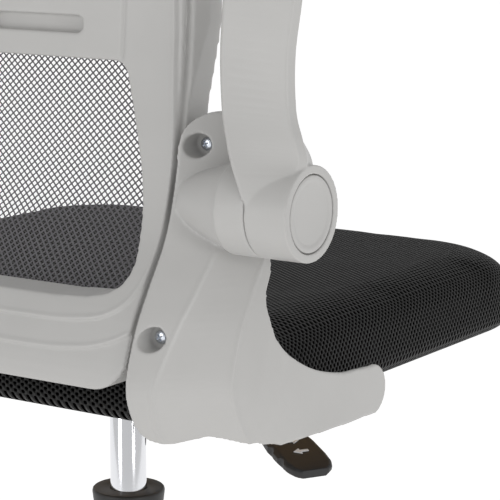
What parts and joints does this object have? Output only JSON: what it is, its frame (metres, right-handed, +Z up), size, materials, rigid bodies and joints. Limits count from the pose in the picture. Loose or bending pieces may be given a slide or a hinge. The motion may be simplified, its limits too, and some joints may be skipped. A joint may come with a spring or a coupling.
{
  "type": "swivel chair",
  "caption": "Mesh-back swivel chair with flip-up arms, a padded seat on a gas lift with tilt mechanism, and a castor base.",
  "frame": {"origin": "on the floor under the column's axis", "axes": "+Z up; the chair faces -Y; the sitter's right is -X"},
  "size_m": [0.6412, 0.5969, 1.006],
  "materials": {
    "grey_nylon": "satin moulded nylon, light warm grey, faint grain",
    "black_nylon": "satin black moulded nylon",
    "chrome": "bright chrome plate",
    "zinc_steel": "bright zinc-plated steel",
    "black_steel": "black powder coat",
    "plywood": "bare plywood",
    "seat_fabric": "black spacer mesh with long holes",
    "back_net": "black open diamond net",
    "arm_pad": "soft grey polyurethane skin"
  },
  "bodies": {
    "base": {"star_base": "grey_nylon", "outer_tube": "chrome", "guide_bush": "black_nylon"},
    "rod": {"piston_rod": "zinc_steel", "thrust_bearing": "zinc_steel", "retaining_clip": "zinc_steel"},
    "lift": {"pressure_tube": "chrome", "mechanism_housing": "black_steel", "tilt_pivot_pin": "zinc_steel", "tilt_spring": "zinc_steel", "tension_bolt": "zinc_steel"},
    "release_pin": {"release_pin": "zinc_steel"},
    "knob": {"tension_knob": "black_nylon"},
    "lever_block": {"lever_pivot_block": "black_nylon"},
    "lever": {"lever_rod": "zinc_steel", "lever_paddle": "black_nylon"},
    "seat": {"seat_plate": "black_steel", "seat_board": "plywood", "seat_cushion": "seat_fabric", "back_frame": "grey_nylon", "back_mesh": "back_net", "bracket_right": "grey_nylon", "bracket_left": "grey_nylon", "bracket_screw_right_upper": "zinc_steel", "bracket_screw_right_lower": "zinc_steel", "bracket_screw_left_upper": "zinc_steel", "bracket_screw_left_lower": "zinc_steel", "pivot_bolt_right": "zinc_steel", "pivot_bolt_left": "zinc_steel"},
    "arm_right": {"arm_right": "grey_nylon", "arm_pad_right": "arm_pad", "arm_cap_right": "grey_nylon"},
    "arm_left": {"arm_left": "grey_nylon", "arm_pad_left": "arm_pad", "arm_cap_left": "grey_nylon"},
    "castor_1": {"castor_hood_1": "black_nylon", "castor_stem_1": "zinc_steel", "castor_axle_1": "zinc_steel"},
    "wheel_left_1": {"castor_wheel_left_1": "black_nylon"},
    "wheel_right_1": {"castor_wheel_right_1": "black_nylon"},
    "castor_2": {"castor_hood_2": "black_nylon", "castor_stem_2": "zinc_steel", "castor_axle_2": "zinc_steel"},
    "wheel_left_2": {"castor_wheel_left_2": "black_nylon"},
    "wheel_right_2": {"castor_wheel_right_2": "black_nylon"},
    "castor_3": {"castor_hood_3": "black_nylon", "castor_stem_3": "zinc_steel", "castor_axle_3": "zinc_steel"},
    "wheel_left_3": {"castor_wheel_left_3": "black_nylon"},
    "wheel_right_3": {"castor_wheel_right_3": "black_nylon"},
    "castor_4": {"castor_hood_4": "black_nylon", "castor_stem_4": "zinc_steel", "castor_axle_4": "zinc_steel"},
    "wheel_left_4": {"castor_wheel_left_4": "black_nylon"},
    "wheel_right_4": {"castor_wheel_right_4": "black_nylon"},
    "castor_5": {"castor_hood_5": "black_nylon", "castor_stem_5": "zinc_steel", "castor_axle_5": "zinc_steel"},
    "wheel_left_5": {"castor_wheel_left_5": "black_nylon"},
    "wheel_right_5": {"castor_wheel_right_5": "black_nylon"}
  },
  "joints": [
    {"name": "seat_swivel", "type": "hinge", "parent": "base", "child": "rod", "pos_m": [0, 0, 0.05], "axis": [0, 0, 1], "continuous": true},
    {"name": "seat_height", "type": "slide", "parent": "rod", "child": "lift", "axis": [0, 0, 1], "range_m": [-0.08, 0.018]},
    {"name": "seat_tilt", "type": "hinge", "parent": "lift", "child": "seat", "pos_m": [0, 0.034, 0.385], "axis": [-1, 0, 0], "range_deg": [0, 15], "stiffness_Nm_per_rad": 220, "springref_deg": -20.05},
    {"name": "release_pin_travel", "type": "slide", "parent": "lift", "child": "release_pin", "axis": [0, 0, -1], "range_m": [0, 0.004], "stiffness_N_per_m": 2500, "springref_m": -0.001},
    {"name": "tension_knob_turn", "type": "hinge", "parent": "lift", "child": "knob", "pos_m": [0, -0.072, 0.3215], "axis": [0, 0, 1], "range_deg": [-900, 900]},
    {"name": "tilt_lock_slide", "type": "slide", "parent": "lift", "child": "lever_block", "axis": [-1, 0, 0], "range_m": [0, 0.008]},
    {"name": "lever_lift", "type": "hinge", "parent": "lever_block", "child": "lever", "pos_m": [-0.037, 0, 0.3905], "axis": [0, 1, 0], "range_deg": [0, 5.3], "stiffness_Nm_per_rad": 4, "springref_deg": -1.72},
    {"name": "arm_right_flip", "type": "hinge", "parent": "seat", "child": "arm_right", "pos_m": [-0.2604, 0.195, 0.555], "axis": [1, 0, 0], "range_deg": [0, 90]},
    {"name": "arm_left_flip", "type": "hinge", "parent": "seat", "child": "arm_left", "pos_m": [0.2604, 0.195, 0.555], "axis": [1, 0, 0], "range_deg": [0, 90]},
    {"name": "castor_1_swivel", "type": "hinge", "parent": "base", "child": "castor_1", "pos_m": [0, -0.285, 0.06], "axis": [0, 0, 1], "continuous": true},
    {"name": "wheel_left_1_roll", "type": "hinge", "parent": "castor_1", "child": "wheel_left_1", "pos_m": [0, -0.265, 0.025], "axis": [-1, 0, 0], "continuous": true},
    {"name": "wheel_right_1_roll", "type": "hinge", "parent": "castor_1", "child": "wheel_right_1", "pos_m": [0, -0.265, 0.025], "axis": [-1, 0, 0], "continuous": true},
    {"name": "castor_2_swivel", "type": "hinge", "parent": "base", "child": "castor_2", "pos_m": [0.27105, -0.08807, 0.06], "axis": [0, 0, 1], "continuous": true},
    {"name": "wheel_left_2_roll", "type": "hinge", "parent": "castor_2", "child": "wheel_left_2", "pos_m": [0.29105, -0.08807, 0.025], "axis": [0, 1, 0], "continuous": true},
    {"name": "wheel_right_2_roll", "type": "hinge", "parent": "castor_2", "child": "wheel_right_2", "pos_m": [0.29105, -0.08807, 0.025], "axis": [0, 1, 0], "continuous": true},
    {"name": "castor_3_swivel", "type": "hinge", "parent": "base", "child": "castor_3", "pos_m": [0.16752, 0.23057, 0.06], "axis": [0, 0, 1], "continuous": true},
    {"name": "wheel_left_3_roll", "type": "hinge", "parent": "castor_3", "child": "wheel_left_3", "pos_m": [0.16752, 0.25057, 0.025], "axis": [-1, 0, 0], "continuous": true},
    {"name": "wheel_right_3_roll", "type": "hinge", "parent": "castor_3", "child": "wheel_right_3", "pos_m": [0.16752, 0.25057, 0.025], "axis": [-1, 0, 0], "continuous": true},
    {"name": "castor_4_swivel", "type": "hinge", "parent": "base", "child": "castor_4", "pos_m": [-0.16752, 0.23057, 0.06], "axis": [0, 0, 1], "continuous": true},
    {"name": "wheel_left_4_roll", "type": "hinge", "parent": "castor_4", "child": "wheel_left_4", "pos_m": [-0.16752, 0.25057, 0.025], "axis": [-1, 0, 0], "continuous": true},
    {"name": "wheel_right_4_roll", "type": "hinge", "parent": "castor_4", "child": "wheel_right_4", "pos_m": [-0.16752, 0.25057, 0.025], "axis": [-1, 0, 0], "continuous": true},
    {"name": "castor_5_swivel", "type": "hinge", "parent": "base", "child": "castor_5", "pos_m": [-0.27105, -0.08807, 0.06], "axis": [0, 0, 1], "continuous": true},
    {"name": "wheel_left_5_roll", "type": "hinge", "parent": "castor_5", "child": "wheel_left_5", "pos_m": [-0.29105, -0.08807, 0.025], "axis": [0, -1, 0], "continuous": true},
    {"name": "wheel_right_5_roll", "type": "hinge", "parent": "castor_5", "child": "wheel_right_5", "pos_m": [-0.29105, -0.08807, 0.025], "axis": [0, -1, 0], "continuous": true}
  ],
  "couplings": [
    {"joint": "release_pin_travel", "follows": "lever_lift", "m_per_rad": 0.043}
  ]
}
